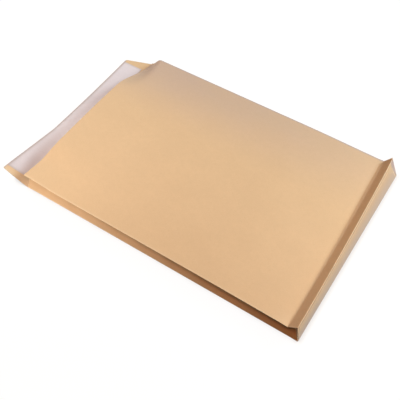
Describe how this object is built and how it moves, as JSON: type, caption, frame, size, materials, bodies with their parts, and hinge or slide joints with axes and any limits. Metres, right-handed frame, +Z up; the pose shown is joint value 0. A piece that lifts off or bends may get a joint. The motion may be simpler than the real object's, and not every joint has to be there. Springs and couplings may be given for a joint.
{
  "type": "gusseted paper envelope",
  "caption": "Open manila gusset pocket with a block bottom, folded-in sides and a peel-and-seal flap, lying flat.",
  "frame": {"origin": "on the surface it lies on, under the middle of the whole outline", "axes": "+X from the flap to the block bottom, +Y from the near side to the far side, +Z up"},
  "size_m": [0.3566, 0.229, 0.0248],
  "materials": {
    "manila": "matt machine-finished manila",
    "adhesive": "clear tacky film",
    "liner": "smooth silicone-coated white paper"
  },
  "bodies": {
    "root": {"folded_pocket": "manila", "adhesive_band": "adhesive", "release_liner": "liner"}
  },
  "joints": []
}
